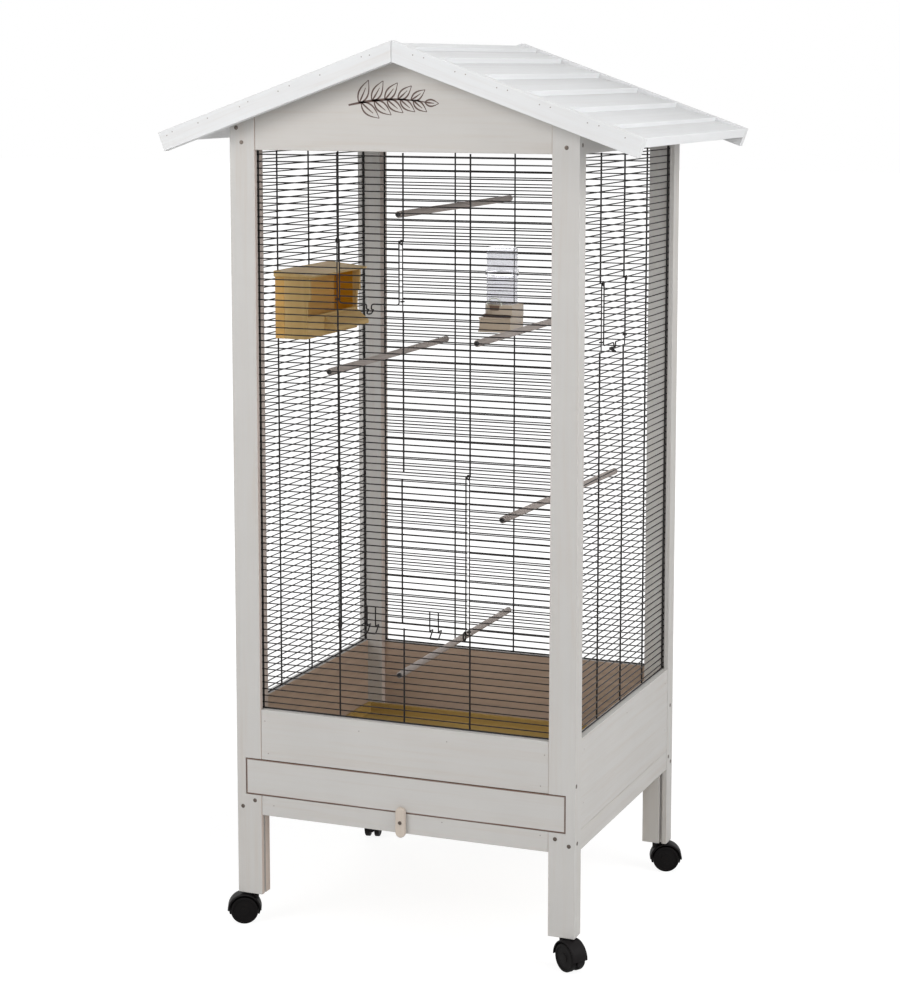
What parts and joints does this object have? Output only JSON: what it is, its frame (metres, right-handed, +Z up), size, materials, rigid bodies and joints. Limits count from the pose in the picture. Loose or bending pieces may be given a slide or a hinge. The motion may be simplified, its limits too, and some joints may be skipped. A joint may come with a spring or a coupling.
{
  "type": "indoor bird aviary",
  "caption": "Tall wooden bird aviary with wire walls, a gabled plank roof, lift-up doors, perches, a nest box, a feeder, a litter drawer and swivel casters.",
  "frame": {"origin": "on the floor under the middle of the aviary", "axes": "+X to the right seen from the front, +Y to the back, +Z up; the drawer opens towards -Y"},
  "size_m": [0.882, 0.642, 1.5779],
  "materials": {
    "whitewashed_wood": "matt whitewash",
    "black_wire": "satin black",
    "tray_board": "ochre, matt",
    "button_wood": "bare, matt",
    "perch_wood": "grey-brown, matt",
    "nest_wood": "bare, matt",
    "feeder_base": "beige, satin",
    "feeder_clear": "clear",
    "caster_hood": "black",
    "caster_wheel": "black"
  },
  "bodies": {
    "frame": {"post_front_left": "whitewashed_wood", "post_front_right": "whitewashed_wood", "post_back_left": "whitewashed_wood", "post_back_right": "whitewashed_wood", "gable_panel_front": "whitewashed_wood", "gable_panel_back": "whitewashed_wood", "top_rail_left": "whitewashed_wood", "top_rail_right": "whitewashed_wood", "lower_panel_front": "whitewashed_wood", "lower_panel_back": "whitewashed_wood", "lower_panel_left": "whitewashed_wood", "lower_panel_right": "whitewashed_wood", "bottom_rail_front": "whitewashed_wood", "bottom_rail_back": "whitewashed_wood", "bottom_rail_left": "whitewashed_wood", "bottom_rail_right": "whitewashed_wood", "bargeboard_front_left": "whitewashed_wood", "bargeboard_front_right": "whitewashed_wood", "bargeboard_back_left": "whitewashed_wood", "bargeboard_back_right": "whitewashed_wood", "roof_board_left_1": "whitewashed_wood", "roof_board_left_2": "whitewashed_wood", "roof_board_left_3": "whitewashed_wood", "roof_board_left_4": "whitewashed_wood", "roof_board_left_5": "whitewashed_wood", "roof_board_left_6": "whitewashed_wood", "roof_board_left_7": "whitewashed_wood", "roof_board_right_1": "whitewashed_wood", "roof_board_right_2": "whitewashed_wood", "roof_board_right_3": "whitewashed_wood", "roof_board_right_4": "whitewashed_wood", "roof_board_right_5": "whitewashed_wood", "roof_board_right_6": "whitewashed_wood", "roof_board_right_7": "whitewashed_wood", "wire_panel_front": "black_wire", "wire_panel_back": "black_wire", "wire_panel_left": "black_wire", "wire_panel_right": "black_wire", "perch_top": "perch_wood", "perch_nest": "perch_wood", "perch_feeder": "perch_wood", "perch_low": "perch_wood", "perch_bottom": "perch_wood", "nest_box": "nest_wood", "feeder_trough": "feeder_base", "feeder_hopper": "feeder_clear"},
    "drawer": {"drawer_front": "whitewashed_wood", "drawer_tray": "tray_board"},
    "turn_button": {"turn_button": "button_wood"},
    "door_front_lower": {"door_front_lower": "black_wire"},
    "door_front_upper": {"door_front_upper": "black_wire"},
    "door_side": {"door_side": "black_wire"},
    "caster_front_left": {"caster_housing_front_left": "caster_hood"},
    "wheels_front_left": {"caster_wheels_front_left": "caster_wheel"},
    "caster_front_right": {"caster_housing_front_right": "caster_hood"},
    "wheels_front_right": {"caster_wheels_front_right": "caster_wheel"},
    "caster_back_left": {"caster_housing_back_left": "caster_hood"},
    "wheels_back_left": {"caster_wheels_back_left": "caster_wheel"},
    "caster_back_right": {"caster_housing_back_right": "caster_hood"},
    "wheels_back_right": {"caster_wheels_back_right": "caster_wheel"}
  },
  "joints": [
    {"name": "drawer_slide", "type": "slide", "parent": "frame", "child": "drawer", "axis": [0, -1, 0], "range_m": [0, 0.38]},
    {"name": "turn_button_turn", "type": "hinge", "parent": "frame", "child": "turn_button", "pos_m": [0, -0.289, 0.227], "axis": [0, -1, 0], "range_deg": [-90, 90]},
    {"name": "door_front_lower_lift", "type": "slide", "parent": "frame", "child": "door_front_lower", "axis": [0, 0, 1], "range_m": [0, 0.26]},
    {"name": "door_front_upper_lift", "type": "slide", "parent": "frame", "child": "door_front_upper", "axis": [0, 0, 1], "range_m": [0, 0.095]},
    {"name": "door_side_lift", "type": "slide", "parent": "frame", "child": "door_side", "axis": [0, 0, 1], "range_m": [0, 0.095]},
    {"name": "caster_swivel_front_left", "type": "hinge", "parent": "frame", "child": "caster_front_left", "pos_m": [-0.296, -0.27, 0.058], "axis": [0, 0, 1], "continuous": true},
    {"name": "caster_swivel_front_right", "type": "hinge", "parent": "frame", "child": "caster_front_right", "pos_m": [0.296, -0.27, 0.058], "axis": [0, 0, 1], "continuous": true},
    {"name": "caster_swivel_back_left", "type": "hinge", "parent": "frame", "child": "caster_back_left", "pos_m": [-0.296, 0.27, 0.058], "axis": [0, 0, 1], "continuous": true},
    {"name": "caster_swivel_back_right", "type": "hinge", "parent": "frame", "child": "caster_back_right", "pos_m": [0.296, 0.27, 0.058], "axis": [0, 0, 1], "continuous": true},
    {"name": "wheel_spin_front_left", "type": "hinge", "parent": "caster_front_left", "child": "wheels_front_left", "pos_m": [-0.31231, -0.27761, 0.025], "axis": [0.4226, -0.9063, 0], "continuous": true},
    {"name": "wheel_spin_front_right", "type": "hinge", "parent": "caster_front_right", "child": "wheels_front_right", "pos_m": [0.31092, -0.28007, 0.025], "axis": [0.5592, 0.829, 0], "continuous": true},
    {"name": "wheel_spin_back_left", "type": "hinge", "parent": "caster_back_left", "child": "wheels_back_left", "pos_m": [-0.29164, 0.25254, 0.025], "axis": [0.9703, 0.2419, 0], "continuous": true},
    {"name": "wheel_spin_back_right", "type": "hinge", "parent": "caster_back_right", "child": "wheels_back_right", "pos_m": [0.31291, 0.27616, 0.025], "axis": [-0.342, 0.9397, 0], "continuous": true}
  ]
}
